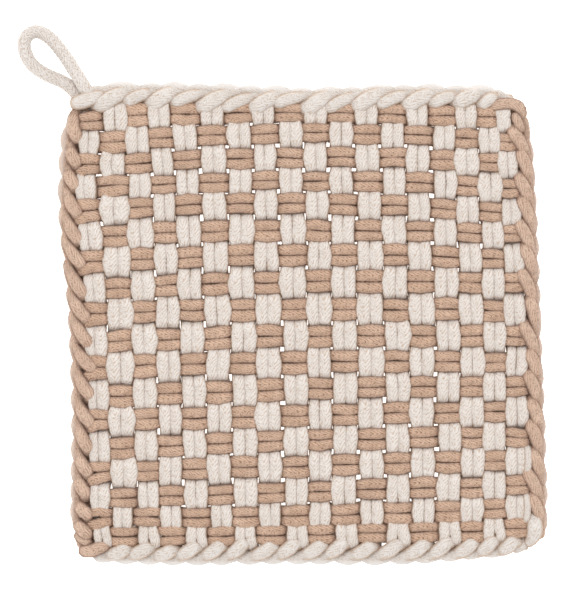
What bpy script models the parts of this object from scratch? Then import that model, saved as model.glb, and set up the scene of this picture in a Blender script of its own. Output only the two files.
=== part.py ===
"""A square pot holder woven on a peg loom from stretchy cotton loops.

Eighteen cream loops run up and down, and eighteen tan loops run across. Each loop lies as two
cords side by side and passes over one crossing loop and under the next. The ends of the loops
are worked into a chain stitch along each side: tan at the left and right, cream at the top and
bottom. The last cream loop is left free at the top left corner, to hang the pot holder by.

Frame: metres, +Z up, lying flat on z = 0. X runs to the right and Y up the mat as it is seen
from above. The origin is under the middle of the whole thing, the hanging loop included.
Lengths in this file are in millimetres until a mesh or a curve is made.
"""

import math
from collections import namedtuple

import bmesh
import bpy
from mathutils import Vector

MM = 0.001

# Where the middle of the mat lies, seen from the origin.
MAT_X, MAT_Y = 9.2, -12.4

# A loop's two cords, side by side.
LIFT = 2.95               # the middle of a loop above or below the mat's middle, at a crossing
CROWN_OUT = 1.95          # the cords' top above the loop's middle, on the face that shows
CROWN_IN = 0.95           # the same on the hidden face, pressed flat by the crossing loop
SEAM_DEPTH = 0.8          # the seam between the two cords, on the face that shows
CROWN_PLACE = 0.52        # each cord's crown, as a share of the loop's half width
HIDDEN_PLACE = 0.42       # the same on the hidden face
CROWN_END = 1.2           # the cords' top and underside at a loop's end, beside an edging
MID_Z = LIFT + CROWN_OUT  # the middle of the mat's thickness, above the surface
WARP_FILL = 0.89          # a loop's width as a share of the spacing
WEFT_FILL = 0.82
PIECE_GAP = 0.3           # between pieces that touch
SIDE_ROOM = 0.15          # what a loop leaves on each side as well, where its neighbours are close
CROSSING_PASSES = 4       # how often the place where two loops cross is made more exact
SHARP_ANGLE = 50          # degrees

# The middle of each loop, measured from the middle of the mat. The cream loops are read near the
# top, middle and bottom of the mat, and the tan ones near its left, middle and right.
Loop = namedtuple("Loop", "first middle last")
WARP_READ = Loop(83.1, 1.5, -84.3)
WARP_LOOPS = (
    Loop(-88.9, -86.6, -84.9),
    Loop(-79.3, -77.4, -75.9),
    Loop(-69.7, -67.2, -65.1),
    Loop(-60.2, -56.9, -55.6),
    Loop(-49.8, -46.9, -44.8),
    Loop(-38.5, -36.6, -34.7),
    Loop(-27.0, -25.5, -24.5),
    Loop(-16.7, -15.1, -14.0),
    Loop(-5.9, -3.9, -3.1),
    Loop(4.8, 6.3, 6.7),
    Loop(15.5, 16.9, 17.2),
    Loop(26.2, 28.0, 28.2),
    Loop(37.0, 38.7, 39.3),
    Loop(47.5, 49.0, 50.0),
    Loop(58.4, 60.2, 60.7),
    Loop(67.8, 69.9, 70.5),
    Loop(77.2, 79.7, 79.6),
    Loop(84.6, 88.3, 89.1),
)
WEFT_READ = Loop(-74.9, 0.4, 73.6)
WEFT_LOOPS = (
    Loop(87.2, 88.1, 86.5),
    Loop(76.4, 79.7, 77.0),
    Loop(66.8, 69.5, 67.6),
    Loop(57.1, 59.8, 57.3),
    Loop(48.3, 50.2, 47.1),
    Loop(37.0, 39.1, 37.7),
    Loop(26.6, 28.7, 27.4),
    Loop(14.9, 17.4, 17.2),
    Loop(4.8, 5.9, 5.6),
    Loop(-7.5, -5.2, -5.2),
    Loop(-17.8, -16.3, -16.1),
    Loop(-30.3, -27.4, -26.4),
    Loop(-40.0, -38.5, -36.8),
    Loop(-52.0, -49.0, -47.5),
    Loop(-61.9, -59.6, -57.7),
    Loop(-73.0, -70.3, -68.3),
    Loop(-81.2, -80.4, -78.0),
    Loop(-89.0, -88.4, -86.4),
)

# The chain-stitched sides. Each is worked the same way round the mat: down the left side, along
# the bottom, up the right side and back along the top. "along" runs that way, and "out" points
# away from the mat. The outer line is read at five even steps. The lead is how far each stitch's
# rounded end lies past its own loop, and the lean is how far it runs back for each step out. The
# first side starts upright against the top's corner stitch, and the others start leaning.
Edging = namedtuple("Edging", "start starts_upright stop lean width lead outer")
EDGINGS = {
    "left": Edging(-88.6, True, 91.6, 0.8, 7.9, 2.0, (99.0, 101.7, 99.3, 97.0, 97.0)),
    "bottom": Edging(-81.2, False, 93.2, 0.75, 7.4, 2.0, (98.9, 100.1, 99.6, 99.0, 95.9)),
    "right": Edging(-76.6, False, 89.4, 0.75, 7.7, 5.0, (101.6, 100.4, 98.7, 97.3, 94.6)),
    "top": Edging(-79.2, False, 86.6, 0.8, 8.8, 6.5, (97.8, 99.4, 98.8, 100.2, 99.5)),
}
# Each side ends in a corner stitch that lies across it. These are its sections.
CornerCut = namedtuple("CornerCut", "along inner outer height")
CORNERS = {
    "left": (CornerCut(92.3, 82.4, 96.6, 8.6), CornerCut(94.2, 83.2, 96.2, 10.2),
             CornerCut(96.4, 86.0, 95.0, 9.8), CornerCut(97.8, 88.6, 93.4, 7.4)),
    "bottom": (CornerCut(93.8, 78.0, 94.7, 8.6), CornerCut(95.8, 79.6, 94.1, 10.2),
               CornerCut(98.2, 82.0, 92.6, 9.8), CornerCut(99.9, 85.6, 90.0, 7.4)),
    "right": (CornerCut(89.9, 80.0, 94.9, 8.6), CornerCut(91.4, 81.6, 94.7, 10.2),
              CornerCut(93.4, 84.2, 93.8, 9.8), CornerCut(94.8, 87.6, 92.2, 7.4)),
    "top": (CornerCut(87.6, 90.7, 97.2, 9.6), CornerCut(90.0, 90.7, 96.4, 10.4),
            CornerCut(95.6, 91.0, 95.6, 9.8), CornerCut(98.2, 92.0, 94.2, 7.4)),
}
EDGE_TOP = 10.4           # the stitches' top above the surface
EDGE_GROOVE = 1.7         # how deep the creases between stitches are, on top
EDGE_NOTCH = 0.9          # the same at the inner line
EDGE_SCALLOP = 0.8        # and at the outer line
SHOULDERS = (0.27, 0.73)  # where a stitch is full height, between two creases
CREASE_ROOM = 4.0         # no crease lies closer to a side's ends than this
LEAN_SETTLES = 1 / 16     # the share of a side over which its stitches come upright
# A section through an edging, from its foot at the inner line over the top to its foot at the
# outer line. Each inset is from the line named, and each height is a share of the stitch's own.
EdgePoint = namedtuple("EdgePoint", "line inset height")
EDGE_SECTION = (
    EdgePoint("inner", 1.7, 0.0),
    EdgePoint("inner", 0.0, 0.25),
    EdgePoint("inner", 0.0, 0.67),
    EdgePoint("inner", 1.9, 1.0),
    EdgePoint("outer", 2.6, 0.95),
    EdgePoint("outer", 0.0, 0.6),
    EdgePoint("outer", 0.2, 0.25),
    EdgePoint("outer", 1.7, 0.0),
)

# The hanging loop: the middle of its cord, measured from the middle of the mat. The cord leaves
# the corner on top, comes round on the surface and goes back in underneath itself.
HangPoint = namedtuple("HangPoint", "x y z")
HANG_DIAMETER = 5.6
HANG_ROUTE = (
    HangPoint(-91.7, 97.5, 7.6),
    HangPoint(-93.0, 100.9, 7.2),
    HangPoint(-97.3, 107.0, 5.2),
    HangPoint(-102.4, 114.4, 3.3),
    HangPoint(-106.9, 119.9, 2.8),
    HangPoint(-111.7, 122.1, 2.8),
    HangPoint(-115.6, 120.5, 2.8),
    HangPoint(-117.2, 116.6, 2.8),
    HangPoint(-115.9, 112.0, 2.8),
    HangPoint(-112.4, 107.8, 2.8),
    HangPoint(-107.5, 103.9, 2.8),
    HangPoint(-101.8, 100.5, 2.8),
    HangPoint(-96.0, 97.2, 2.8),
)
HANG_STEPS = 3            # straight steps between two points of the route
HANG_BEVEL_STEPS = 3      # this gives the cord ten sides

CREAM = (0.76, 0.68, 0.60, 1.0)
TAN = (0.62, 0.44, 0.33, 1.0)
COTTON_ROUGHNESS = 0.9


def parabola(places, values, at):
    """The value at a place, on the curve through three read values."""
    total = 0.0
    for i, place in enumerate(places):
        weight = 1.0
        for j, other in enumerate(places):
            if j != i:
                weight *= (at - other) / (place - other)
        total += weight * values[i]
    return total


def warp_x(column, y):
    return parabola(WARP_READ, WARP_LOOPS[column], y)


def weft_y(row, x):
    return parabola(WEFT_READ, WEFT_LOOPS[row], x)


def crossing(column, row):
    """Where the middles of two loops cross, in plan."""
    y = weft_y(row, 0.0)
    for _ in range(CROSSING_PASSES):
        x = warp_x(column, y)
        y = weft_y(row, x)
    return x, y


def warp_is_up(column, row):
    return (column + row) % 2 == 1


def smooth_through(values, share):
    """A smooth line through evenly spaced values; share runs from 0 to 1."""
    steps = len(values) - 1
    place = min(max(share, 0.0), 1.0) * steps
    i = min(int(place), steps - 1)
    t = place - i
    before, here, there = values[max(i - 1, 0)], values[i], values[i + 1]
    after = values[min(i + 2, steps)]
    return here + 0.5 * t * (there - before + t * (
        2 * before - 5 * here + 4 * there - after + t * (3 * (here - there) + after - before)))


def outer_line(side, along):
    edging = EDGINGS[side]
    return smooth_through(edging.outer, (along - edging.start) / (edging.stop - edging.start))


def inner_line(side, along):
    """How far out the loops may reach at a side: its own edging, or the corner stitch there."""
    sides = list(EDGINGS)
    before = sides[sides.index(side) - 1]
    line = outer_line(side, along) - EDGINGS[side].width
    if -along > CORNERS[before][0].inner - PIECE_GAP:
        line = min(line, EDGINGS[before].stop - SIDE_ROOM)
    return line


def loop_half_width(middle, before, after, fill):
    """Half the width of a loop, from the middles of its neighbours; None where there is none."""
    spaces = [abs(middle - other) for other in (before, after) if other is not None]
    average = sum(spaces) / len(spaces)
    return min(fill * average / 2, (min(spaces) - PIECE_GAP) / 2 - SIDE_ROOM)


def fit_edges(middle, half, low_room, high_room):
    """The two edges of a loop, kept clear of the edgings beside it."""
    low = max(middle - half, low_room + PIECE_GAP)
    high = min(middle + half, high_room - PIECE_GAP)
    return (low + high) / 2, (high - low) / 2


def face_of_pair(half, crown, place, seam):
    """One face of two cords side by side, as points across and up from the loop's middle."""
    return [(-half * place, crown), (0.0, crown - seam), (half * place, crown)]


def pair_section(half, above, below):
    low_face = [(across, -down) for across, down in reversed(face_of_pair(half, *below))]
    return [(-half, 0.0)] + face_of_pair(half, *above) + [(half, 0.0)] + low_face


def crossing_section(half, up):
    shown, hidden = (CROWN_OUT, CROWN_PLACE, SEAM_DEPTH), (CROWN_IN, HIDDEN_PLACE, 0.0)
    return pair_section(half, shown, hidden) if up else pair_section(half, hidden, shown)


def end_section(half):
    face = (CROWN_END, CROWN_PLACE, SEAM_DEPTH / 2)
    return pair_section(half, face, face)


def clean_collection(name):
    collection = bpy.data.collections.new(name)
    bpy.context.scene.collection.children.link(collection)
    return collection


def cotton(name, colour):
    material = bpy.data.materials.new(name)
    material.use_nodes = True
    shader = material.node_tree.nodes["Principled BSDF"]
    shader.inputs["Base Color"].default_value = colour
    shader.inputs["Roughness"].default_value = COTTON_ROUGHNESS
    shader.inputs["Metallic"].default_value = 0.0
    material.diffuse_color = colour
    return material


def add_bent_face(bm, a, b, c, d, middle):
    """Two triangles, split along the diagonal that keeps the piece slimmer."""
    if ((a.co + c.co) / 2 - middle).length < ((b.co + d.co) / 2 - middle).length:
        bm.faces.new((a, b, c))
        bm.faces.new((a, c, d))
    else:
        bm.faces.new((a, b, d))
        bm.faces.new((b, c, d))


def add_loft(name, sections, material, collection):
    """A closed solid through a row of sections, each a ring of points in millimetres."""
    mesh = bpy.data.meshes.new(name)
    bm = bmesh.new()
    rings = []
    for section in sections:
        rings.append([bm.verts.new([(x + MAT_X) * MM, (y + MAT_Y) * MM, z * MM])
                      for x, y, z in section])
    for ring, following in zip(rings, rings[1:]):
        middle = sum((vert.co for vert in ring + following), Vector()) / (2 * len(ring))
        for i in range(len(ring)):
            j = (i + 1) % len(ring)
            add_bent_face(bm, ring[i], ring[j], following[j], following[i], middle)
    bm.faces.new(reversed(rings[0]))
    bm.faces.new(rings[-1])
    bmesh.ops.recalc_face_normals(bm, faces=bm.faces)
    bm.to_mesh(mesh)
    bm.free()
    mesh.materials.append(material)
    mesh.shade_smooth()
    mesh.set_sharp_from_angle(angle=math.radians(SHARP_ANGLE))
    piece = bpy.data.objects.new(name, mesh)
    collection.objects.link(piece)
    return piece


def strand_end(crest, room, spacing, up):
    """The last ring of a loop, beside an edging: its place along the loop and its height."""
    at = math.copysign(abs(room) - PIECE_GAP, room)
    fall = min(abs(at - crest) / (spacing / 2), 1.0)
    return at, MID_Z + (LIFT if up else -LIFT) * (1.0 - fall)


def warp_sections(column):
    last_row = len(WEFT_LOOPS) - 1
    sections = []
    for row in range(last_row + 1):
        x, y = crossing(column, row)
        before = warp_x(column - 1, y) if column else None
        after = warp_x(column + 1, y) if column < len(WARP_LOOPS) - 1 else None
        half = loop_half_width(x, before, after, WARP_FILL)
        middle, half = fit_edges(x, half, -inner_line("left", -y), inner_line("right", y))
        up = warp_is_up(column, row)
        if row == 0:
            room = min(inner_line("top", -middle - half), inner_line("top", -middle + half))
            end_y, end_z = strand_end(y, room, y - crossing(column, 1)[1], up)
            sections.append([(middle + across, end_y, end_z + high)
                             for across, high in end_section(half)])
        sections.append([(middle + across, y, MID_Z + (LIFT if up else -LIFT) + high)
                         for across, high in crossing_section(half, up)])
        if row == last_row:
            room = min(inner_line("bottom", middle - half), inner_line("bottom", middle + half))
            end_y, end_z = strand_end(y, -room, crossing(column, row - 1)[1] - y, up)
            sections.append([(middle + across, end_y, end_z + high)
                             for across, high in end_section(half)])
    return sections


def weft_sections(row):
    last_column = len(WARP_LOOPS) - 1
    sections = []
    for column in range(last_column + 1):
        x, y = crossing(column, row)
        before = weft_y(row - 1, x) if row else None
        after = weft_y(row + 1, x) if row < len(WEFT_LOOPS) - 1 else None
        half = loop_half_width(y, before, after, WEFT_FILL)
        middle, half = fit_edges(y, half, -inner_line("bottom", x), inner_line("top", -x))
        up = not warp_is_up(column, row)
        if column == 0:
            room = min(inner_line("left", -middle - half), inner_line("left", -middle + half))
            end_x, end_z = strand_end(x, -room, crossing(1, row)[0] - x, up)
            sections.append([(end_x, middle + across, end_z + high)
                             for across, high in end_section(half)])
        sections.append([(x, middle + across, MID_Z + (LIFT if up else -LIFT) + high)
                         for across, high in crossing_section(half, up)])
        if column == last_column:
            room = min(inner_line("right", middle - half), inner_line("right", middle + half))
            end_x, end_z = strand_end(x, room, x - crossing(column - 1, row)[0], up)
            sections.append([(end_x, middle + across, end_z + high)
                             for across, high in end_section(half)])
    return sections


def edge_loop_places(side):
    """How far along a side each loop comes in under its stitch."""
    last_row, last_column = len(WEFT_LOOPS) - 1, len(WARP_LOOPS) - 1
    if side == "left":
        return [-crossing(0, row)[1] for row in range(last_row + 1)]
    if side == "bottom":
        return [crossing(column, last_row)[0] for column in range(last_column + 1)]
    if side == "right":
        return [crossing(last_column, row)[1] for row in range(last_row, -1, -1)]
    return [-crossing(column, 0)[0] for column in range(last_column, -1, -1)]


def edge_ring(side, along, inner, outer, height, lean):
    """One ring round an edging. A leaning ring runs back towards the outer line."""
    ring = []
    for point in EDGE_SECTION:
        out = inner + point.inset if point.line == "inner" else outer - point.inset
        up = point.height * height
        run = along - lean * (out - inner)
        if side == "left":
            ring.append((-out, -run, up))
        elif side == "bottom":
            ring.append((run, -out, up))
        elif side == "right":
            ring.append((out, run, up))
        else:
            ring.append((-run, out, up))
    return ring


def edging_sections(side):
    edging = EDGINGS[side]
    reach = edging.stop - edging.start
    creases = [place + edging.lead for place in edge_loop_places(side)]
    first, last = edging.start + CREASE_ROOM, edging.stop - CREASE_ROOM
    creases = [edging.start] + [crease for crease in creases if first < crease < last]
    creases.append(edging.stop)
    sections = []
    for crease, following in zip(creases, creases[1:]):
        for share in (0.0,) + SHOULDERS:
            along = crease + share * (following - crease)
            progress = (along - edging.start) / reach
            lean = edging.lean * min(1.0, (1.0 - progress) / LEAN_SETTLES)
            if edging.starts_upright:
                lean *= min(1.0, progress / LEAN_SETTLES)
            inner = outer_line(side, along) - edging.width
            outer = outer_line(side, along)
            if share == 0.0:
                sections.append(edge_ring(side, along, inner + EDGE_NOTCH, outer - EDGE_SCALLOP,
                                          EDGE_TOP - EDGE_GROOVE, lean))
            else:
                sections.append(edge_ring(side, along, inner, outer, EDGE_TOP, lean))
    sections.append(edge_ring(side, edging.stop, outer_line(side, edging.stop) - edging.width,
                              outer_line(side, edging.stop), EDGE_TOP - EDGE_GROOVE, 0.0))
    for cut in CORNERS[side]:
        sections.append(edge_ring(side, cut.along, cut.inner, cut.outer, cut.height, 0.0))
    return sections


def add_hanging_loop(material, collection):
    xs, ys, zs = zip(*HANG_ROUTE)
    count = (len(HANG_ROUTE) - 1) * HANG_STEPS
    curve = bpy.data.curves.new("hanging_loop", "CURVE")
    curve.dimensions = "3D"
    curve.bevel_depth = HANG_DIAMETER / 2 * MM
    curve.bevel_resolution = HANG_BEVEL_STEPS
    curve.use_fill_caps = True
    curve.materials.append(material)
    spline = curve.splines.new("POLY")
    spline.points.add(count)
    for i in range(count + 1):
        share = i / count
        x, y, z = (smooth_through(values, share) for values in (xs, ys, zs))
        spline.points[i].co = ((x + MAT_X) * MM, (y + MAT_Y) * MM, z * MM, 1.0)
    spline.use_smooth = True
    piece = bpy.data.objects.new("hanging_loop", curve)
    collection.objects.link(piece)
    return piece


def main():
    for old in list(bpy.data.objects):
        bpy.data.objects.remove(old, do_unlink=True)
    pot_holder = clean_collection("pot_holder")
    warp_cotton = cotton("cream_loop_cotton", CREAM)
    weft_cotton = cotton("tan_loop_cotton", TAN)
    edge_cotton = {"left": cotton("tan_edging_cotton", TAN), "bottom": cotton("cream_edging_cotton", CREAM)}
    edge_cotton["right"] = edge_cotton["left"]
    edge_cotton["top"] = edge_cotton["bottom"]

    for column in range(len(WARP_LOOPS)):
        add_loft(f"warp_loop_{column + 1:02d}", warp_sections(column), warp_cotton, pot_holder)
    for row in range(len(WEFT_LOOPS)):
        add_loft(f"weft_loop_{row + 1:02d}", weft_sections(row), weft_cotton, pot_holder)
    for side in EDGINGS:
        add_loft(f"edging_{side}", edging_sections(side), edge_cotton[side], pot_holder)
    add_hanging_loop(cotton("cream_hanging_cotton", CREAM), pot_holder)


main()
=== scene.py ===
import math

import bpy
import numpy as np
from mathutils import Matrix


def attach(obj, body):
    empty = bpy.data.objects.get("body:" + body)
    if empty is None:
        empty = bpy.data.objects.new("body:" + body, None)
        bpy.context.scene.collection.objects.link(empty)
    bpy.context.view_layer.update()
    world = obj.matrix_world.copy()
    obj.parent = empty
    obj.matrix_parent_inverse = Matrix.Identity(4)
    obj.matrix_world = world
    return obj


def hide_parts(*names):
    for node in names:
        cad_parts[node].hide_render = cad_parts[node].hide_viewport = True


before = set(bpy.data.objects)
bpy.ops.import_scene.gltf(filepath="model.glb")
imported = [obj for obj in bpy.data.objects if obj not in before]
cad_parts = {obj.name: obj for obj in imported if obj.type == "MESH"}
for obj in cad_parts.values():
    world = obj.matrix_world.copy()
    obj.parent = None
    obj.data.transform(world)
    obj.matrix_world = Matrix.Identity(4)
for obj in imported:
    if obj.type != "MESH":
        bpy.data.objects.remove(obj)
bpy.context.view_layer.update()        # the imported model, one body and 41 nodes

mm = 0.001
middleX = 9.2            # where the middle of the mat lies, in mm; all lengths below are from there
middleY = -12.4
matMiddle = 4.9          # half the mat's thickness, above the surface
rng = np.random.default_rng(18)

# Curves and cords, lengths in mm.
splineSteps = 24         # between two points of a route, before it is read off at even steps


def splineThrough(points, counts):
    # a smooth curve through rows of numbers, with counts[i] steps from row i to the next
    p = np.asarray(points, float)
    ends = np.vstack([2 * p[0] - p[1], p, 2 * p[-1] - p[-2]])
    rows = []
    for i, steps in enumerate(counts):
        a, b, c, d = ends[i:i + 4]
        t = (np.arange(steps) / steps)[:, None]
        rows.append(b + 0.5 * t * (c - a + t * (2 * a - 5 * b + 4 * c - d + t * (3 * (b - c) + d - a))))
    rows.append(p[-1:])
    return np.vstack(rows)


def lengthAlong(path):
    return np.concatenate([[0], np.cumsum(np.linalg.norm(np.diff(path, axis=0), axis=1))])


def evenSteps(rows, step):
    # rows that already lie close together, read off again at even steps; columns past the third ride along
    run = lengthAlong(rows[:, :3])
    places = np.linspace(0, run[-1], max(4, int(round(run[-1] / step))))
    return np.column_stack([np.interp(places, run, rows[:, k]) for k in range(rows.shape[1])])


def evenSpline(points, step):
    # a smooth curve through rows of numbers, at even steps of length
    return evenSteps(splineThrough(points, [splineSteps] * (len(points) - 1)), step)


def unit(v):
    return v / np.maximum(np.linalg.norm(v, axis=-1, keepdims=True), 1e-9)


def tangents(path):
    return unit(np.gradient(path, axis=0))


def levelSideways(path):
    # across the cord and level with the surface
    t = tangents(path)
    return unit(np.column_stack([-t[:, 1], t[:, 0], np.zeros(len(t))]))


def carriedSideways(path, start):
    # level at one place of the path, and carried both ways from there without twist
    t = tangents(path)
    side = np.zeros_like(path)
    side[start] = unit(np.cross([0, 0, 1], t[start]))
    for order in (range(start + 1, len(path)), range(start - 1, -1, -1)):
        last = side[start]
        for i in order:
            last = unit(last - t[i] * (last @ t[i]))
            side[i] = last
    return side


cordEnd = 2.2            # the length of a cord's rounded end, at most
cordTip = 0.02           # how far the last ring stays open, as the square of its share
stitchFullness = 0.8     # below 1, a stitch stands fuller than a sine
patternStarts = 40       # a cord's pattern of stitches starts at one of so many places


def squared(turned, squareness):
    # the cosines or sines of a circle, pushed out towards a square
    return np.sign(turned) * np.abs(turned) ** (2 / squareness)


def cordSurface(path, sideways, halfWide, halfHigh, squareness=2.4, wales=6, perWale=2, perStitch=3,
                relief=0.1, rough=0.03):
    # points, faces and stitch coordinates of one closed cord; its rings lie at even steps of a stitch and
    # stand proud in slanted rows, so that the knitting's Vs are in the shape
    sides = wales * perWale
    rings = len(path)
    up = np.cross(tangents(path), sideways)
    turn = np.arange(sides) * 2 * np.pi / sides
    c = np.cos(turn)
    s = np.sin(turn)
    run = lengthAlong(path)
    near = np.clip(np.minimum(run, run[-1] - run) / min(cordEnd, run[-1] / 3), 0, 1)
    closing = np.sqrt(np.clip(1 - (1 - near) ** 2, cordTip, 1))[:, None]
    slant = np.abs(((np.arange(sides) / perWale) % 1) * 2 - 1)
    place = np.arange(rings)[:, None] / perStitch + 0.5 * slant[None, :]
    proud = relief * (np.abs(np.sin(np.pi * place)) ** stitchFullness - 0.5) * 2
    proud = proud + rough * (rng.random((rings, sides)) * 2 - 1)
    wide = (np.asarray(halfWide)[:, None] * squared(c, squareness) + proud * c) * closing
    high = (np.asarray(halfHigh)[:, None] * squared(s, squareness) + proud * s) * closing
    verts = path[:, None, :] + wide[..., None] * sideways[:, None, :] + high[..., None] * up[:, None, :]
    verts = np.vstack([verts.reshape(-1, 3), path[:1], path[-1:]])

    # the skin, ring by ring; its UV is (wale, stitch)
    i, j = np.meshgrid(np.arange(rings - 1), np.arange(sides), indexing="ij")
    here = i * sides + j
    beside = i * sides + (j + 1) % sides
    quads = np.stack([here, beside, beside + sides, here + sides], -1).reshape(-1, 4)
    stitchAt = np.arange(rings) / perStitch + int(rng.random() * patternStarts)
    waleUv = np.stack([j, j + 1, j + 1, j], -1) / perWale
    stitchUv = np.stack([stitchAt[i], stitchAt[i], stitchAt[i + 1], stitchAt[i + 1]], -1)
    uvs = np.stack([waleUv, stitchUv], -1).reshape(-1, 4, 2)

    # a fan of triangles closes each end, round the path's first and last point
    ring = np.arange(sides)
    after = (ring + 1) % sides
    lastRing = (rings - 1) * sides
    tip = rings * sides
    startCap = np.stack([np.full(sides, tip), after, ring], -1)
    endCap = np.stack([np.full(sides, tip + 1), lastRing + ring, lastRing + after], -1)
    startWale = np.stack([ring + 0.5, ring + 1, ring], -1) / perWale
    endWale = np.stack([ring + 0.5, ring, ring + 1], -1) / perWale
    startUv = np.stack([startWale, np.full((sides, 3), stitchAt[0])], -1)
    endUv = np.stack([endWale, np.full((sides, 3), stitchAt[-1])], -1)
    return verts, quads, uvs, np.vstack([startCap, endCap]), np.concatenate([startUv, endUv])


def placed(name, data):
    thing = bpy.data.objects.new(name, data)
    bpy.context.scene.collection.objects.link(thing)
    return thing


def addUv(mesh, name, values):
    layer = mesh.uv_layers.new(name=name)
    layer.data.foreach_set("uv", values.astype(np.float32).ravel())


def cordPiece(name, cords, material, depth=None):
    # one object from several cords; depth gives a second UV map from points in mm
    verts = []
    loops = []
    sizes = []
    uvs = []
    base = 0
    for points, quads, quadUv, caps, capUv in cords:
        verts.append(points)
        loops += [(quads + base).ravel(), (caps + base).ravel()]
        sizes += [np.full(len(quads), 4), np.full(len(caps), 3)]
        uvs += [quadUv.reshape(-1, 2), capUv.reshape(-1, 2)]
        base += len(points)
    verts = np.vstack(verts)
    loops = np.concatenate(loops)
    sizes = np.concatenate(sizes)
    places = (verts + [middleX, middleY, 0]) * mm
    places[:, 2] = np.maximum(places[:, 2], 0)
    mesh = bpy.data.meshes.new(name)
    mesh.vertices.add(len(places))
    mesh.vertices.foreach_set("co", places.astype(np.float32).ravel())
    mesh.loops.add(len(loops))
    mesh.loops.foreach_set("vertex_index", loops.astype(np.int32))
    mesh.polygons.add(len(sizes))
    mesh.polygons.foreach_set("loop_start", np.concatenate([[0], np.cumsum(sizes)[:-1]]).astype(np.int32))
    mesh.polygons.foreach_set("loop_total", sizes.astype(np.int32))
    mesh.update(calc_edges=True)
    addUv(mesh, "cord", np.vstack(uvs))
    if depth is not None:
        addUv(mesh, "rim", np.column_stack([depth(verts)[loops], np.zeros(len(loops))]))
    mesh.validate()
    mesh.shade_smooth()
    mesh.materials.append(material)
    piece = placed(name, mesh)
    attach(piece, "root")
    return piece


# Cotton: node groups for what the materials share, then the materials.

def newGroup(name, ins, outs):
    # each input is a number, or None for a vector; the outputs are numbers
    group = bpy.data.node_groups.new(name, "ShaderNodeTree")
    for label, value in ins.items():
        kind = "NodeSocketVector" if value is None else "NodeSocketFloat"
        socket = group.interface.new_socket(label, in_out="INPUT", socket_type=kind)
        if value is not None:
            socket.default_value = value
    for label in outs:
        group.interface.new_socket(label, in_out="OUTPUT", socket_type="NodeSocketFloat")
    return group, group.nodes.new("NodeGroupInput"), group.nodes.new("NodeGroupOutput")


def setInputs(node, values):
    for label, value in values.items():
        node.inputs[label].default_value = value


def partsOf(tree, vector):
    # X, Y and Z
    node = tree.nodes.new("ShaderNodeSeparateXYZ")
    tree.links.new(vector, node.inputs[0])
    return node.outputs


def mathIn(tree, operation, a, b=None, c=None, clamp=False):
    node = tree.nodes.new("ShaderNodeMath")
    node.operation = operation
    node.use_clamp = clamp
    for socket, value in zip(node.inputs, (a, b, c)):
        if isinstance(value, (int, float)):
            socket.default_value = value
        elif value is not None:
            tree.links.new(value, socket)
    return node.outputs[0]


def rampIn(tree, value, low, high):
    # 0 below low, 1 above high
    node = tree.nodes.new("ShaderNodeMapRange")
    node.interpolation_type = "SMOOTHSTEP"
    setInputs(node, {"From Min": low, "From Max": high})
    tree.links.new(value, node.inputs["Value"])
    return node.outputs["Result"]


def noiseIn(tree, place, values):
    node = tree.nodes.new("ShaderNodeTexNoise")
    setInputs(node, values)
    tree.links.new(place, node.inputs["Vector"])
    return node.outputs["Fac"]


knitShape = {
    "drift": {"Scale": 0.7, "Detail": 1.0},     # of the noise that shifts the rows, over wales and stitches
    "jitter": {"Scale": 1.9, "Detail": 2.0},    # the same for single stitches
    "creviceBreaks": {"Scale": 1.7, "Detail": 3.0},      # and for where the painted shade in the crevices breaks off
    "columnSway": 0.6,         # how far jitter pushes a column aside
    "legFullness": 0.9,        # below 1, the stitches' legs are fuller than a sine
    "columnFullness": 0.45,    # the same across a column
    "columnShare": 0.6,        # of the height that falls off towards a column's sides
    "crevice": (0.05, 0.75),   # heights where a crevice and its painted shade are full and where they end
    "breakGain": 4.0,
    "breakLevel": 0.72,
}
fibreShape = {
    "stretch": (2.2, 1.0, 1.0),
    "noise": {"Scale": 4.5, "Detail": 5.0, "Roughness": 0.65, "Distortion": 0.8},
    "fluff": (0.25, 0.75),     # noise values where the fluff starts and where it is full
    "mottleNoise": {"Scale": 160.0, "Detail": 3.0},
    "mottle": (0.3, 0.7),
}
# where the painted shade on a cord's flanks lies
flankShape = {
    "shallow": (0.0009, 0.0019),    # metres from the mat's middle where a flank starts and where it is full
    "sideWales": 1.5,               # from a cord's own side to its top or underside
    "ownSide": (0.6, 1.0),          # of those, where the ends start and where they are full
}
yarnShape = {
    "fluffHeight": 0.45,            # as a share of a stitch's height
    "bumpDistance": 0.00045,
    "roughness": 0.86,
    "creviceRoughness": 0.08,       # added in a crevice
    "surface": {"Specular IOR Level": 0.15, "Sheen Roughness": 0.5},
}


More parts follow.
